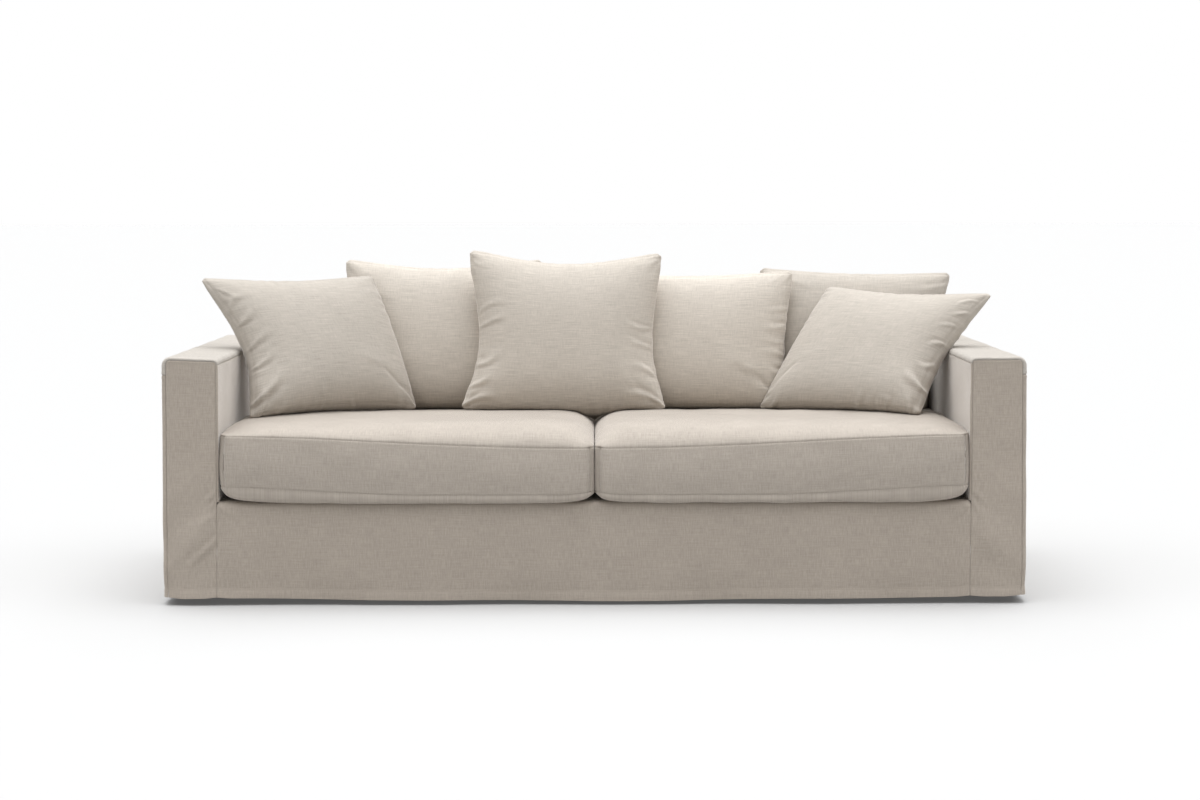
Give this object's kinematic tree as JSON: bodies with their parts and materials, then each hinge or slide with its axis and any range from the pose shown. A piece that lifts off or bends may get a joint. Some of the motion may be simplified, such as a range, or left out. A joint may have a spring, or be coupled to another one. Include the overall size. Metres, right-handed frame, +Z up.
{
  "type": "sofa slipcover set",
  "caption": "Fitted beige linen slipcover for a long square-arm sofa, hollow and open underneath, with its covered seat, back and scatter cushions.",
  "frame": {"origin": "middle of the footprint, level with the lowest point of the hem; the floor is about 9 mm lower", "axes": "+X to the right as seen from the front, +Y to the back, +Z up; the front faces -Y"},
  "size_m": [2.3308, 0.9785, 0.9311],
  "materials": {
    "cover_linen": "matt beige linen weave",
    "seat_linen": "matt beige linen weave",
    "cushion_linen": "matt warm beige linen weave"
  },
  "bodies": {
    "root": {"arm_front_left": "cover_linen", "arm_front_right": "cover_linen", "arm_outside_left": "cover_linen", "arm_outside_right": "cover_linen", "arm_top_left": "cover_linen", "arm_top_right": "cover_linen", "arm_inside_left": "cover_linen", "arm_inside_right": "cover_linen", "back_outside": "cover_linen", "back_top": "cover_linen", "back_inside": "cover_linen", "deck": "cover_linen", "front_skirt": "cover_linen", "seat_cushion_left": "seat_linen", "seat_cushion_right": "seat_linen", "back_cushion_left": "cushion_linen", "back_cushion_middle": "cushion_linen", "back_cushion_right": "cushion_linen", "scatter_cushion_left": "cushion_linen", "scatter_cushion_centre": "cushion_linen", "scatter_cushion_right": "cushion_linen"}
  },
  "joints": []
}
